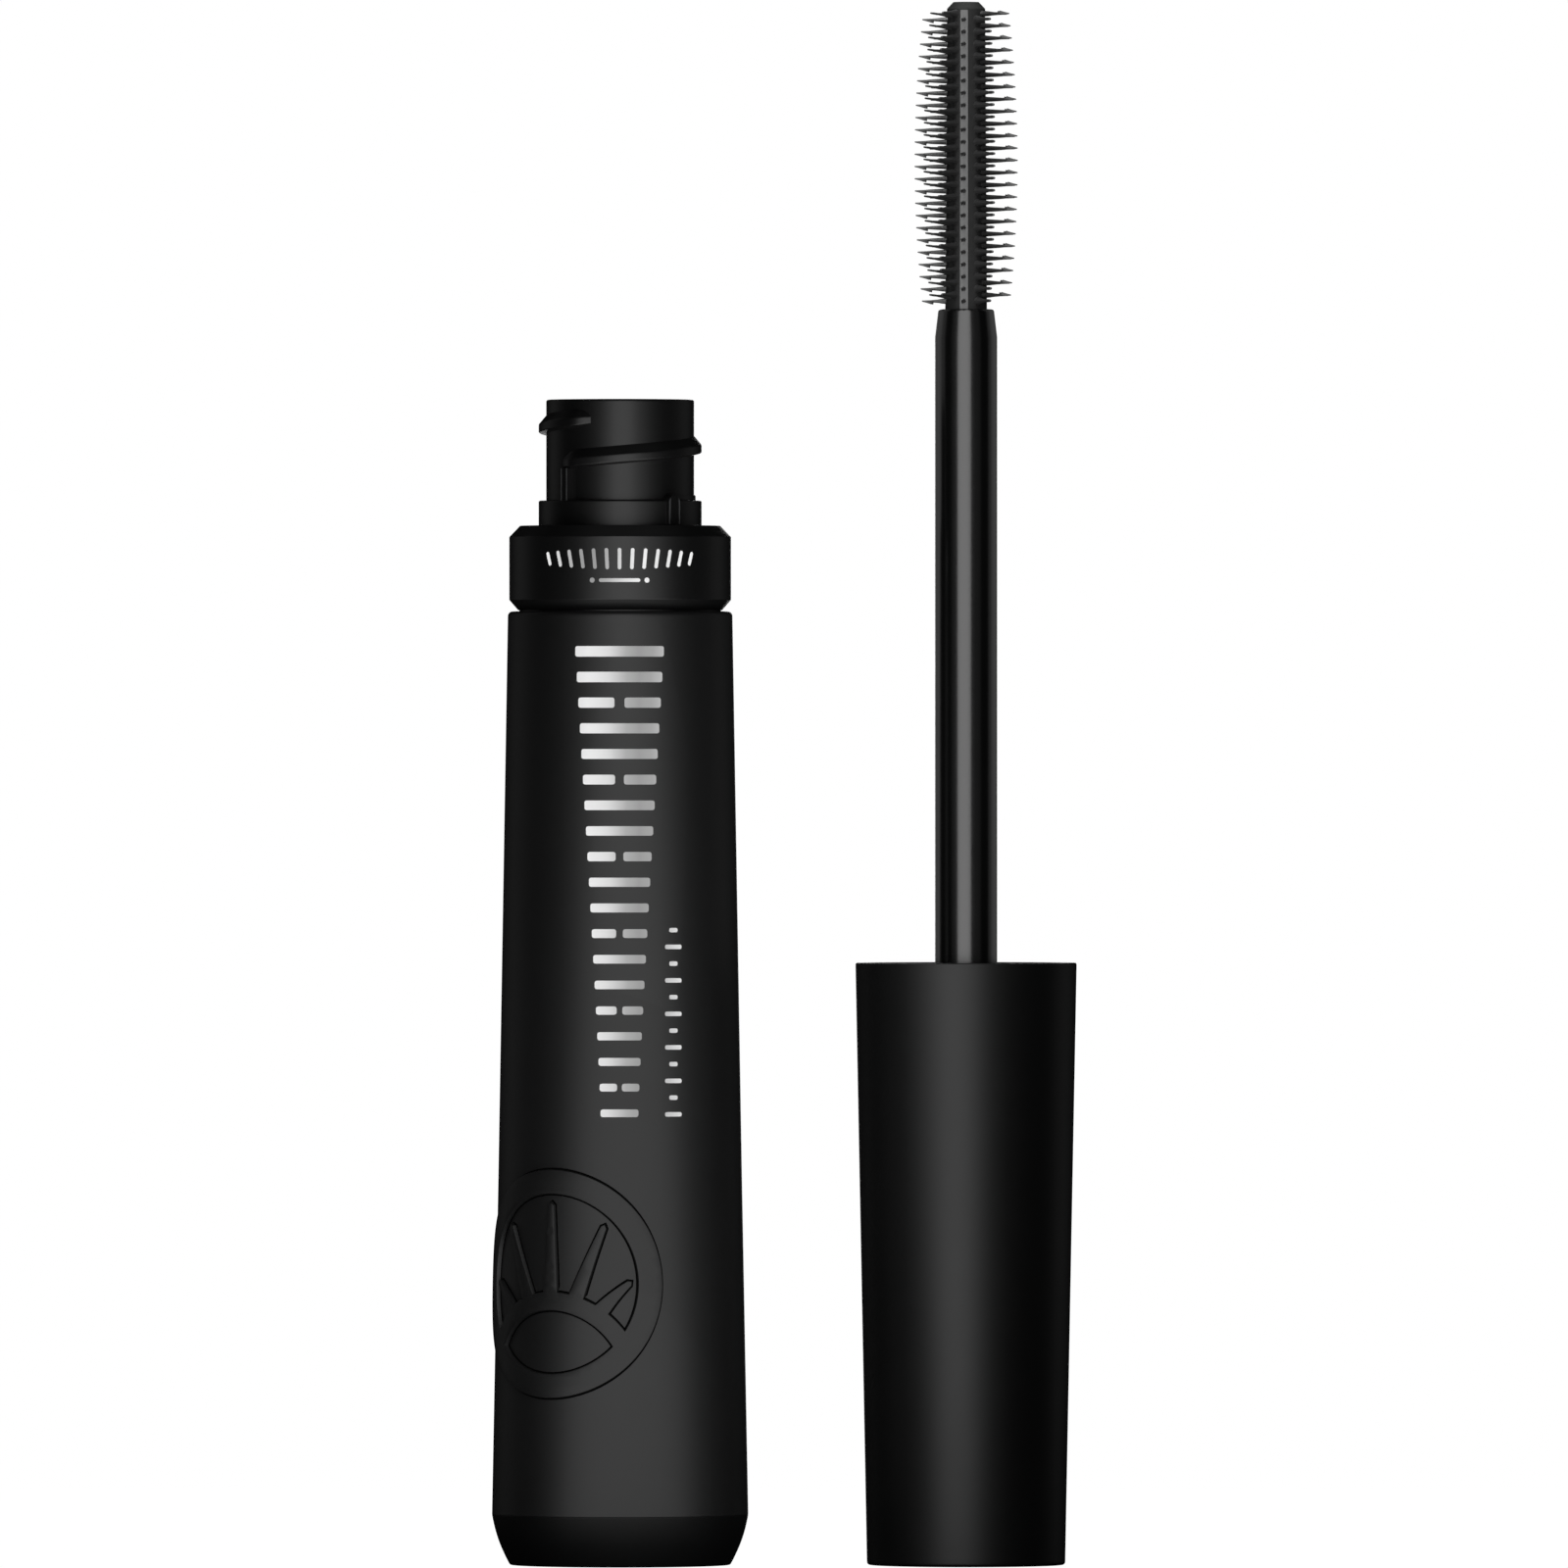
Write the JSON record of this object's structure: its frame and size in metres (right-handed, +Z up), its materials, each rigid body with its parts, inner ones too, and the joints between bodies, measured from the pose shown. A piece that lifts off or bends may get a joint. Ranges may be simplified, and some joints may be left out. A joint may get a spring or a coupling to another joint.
{
  "type": "mascara tube with applicator",
  "caption": "Slim tapered cosmetic tube, open, with a threaded neck and a wand applicator standing on its cap beside it.",
  "frame": {"origin": "centre of the bottle's flat base, on the surface it stands on", "axes": "+Z up the bottle's axis, +X from the bottle towards the standing applicator, front towards -Y"},
  "size_m": [0.0478, 0.0211, 0.1277],
  "materials": {
    "satin_black": "satin",
    "neck_black": "semi-gloss",
    "stem_black": "gloss",
    "brush_black": "fine matt, soft to the touch",
    "wiper_grey": "waxy",
    "liner_white": "fine closed-cell foam",
    "silver_foil": "hot-stamped foil, brushed"
  },
  "bodies": {
    "bottle": {"outer_sleeve": "satin_black", "foot_plug": "satin_black", "inner_bottle": "neck_black", "collar_ring": "neck_black", "wiper": "wiper_grey"},
    "seal": {"seal_washer": "liner_white"},
    "applicator": {"overcap": "satin_black", "inner_cap": "neck_black", "stem": "stem_black", "brush": "brush_black"}
  },
  "joints": [
    {"name": "applicator_turn_over", "type": "hinge", "parent": "bottle", "child": "seal", "pos_m": [0.01413, 0, 0.1125], "axis": [0, -1, 0], "range_deg": [0, 180]},
    {"name": "cap_twist", "type": "hinge", "parent": "seal", "child": "applicator", "pos_m": [0.02827, 0, 0.0385], "axis": [0, 0, 1], "range_deg": [0, 385]}
  ]
}
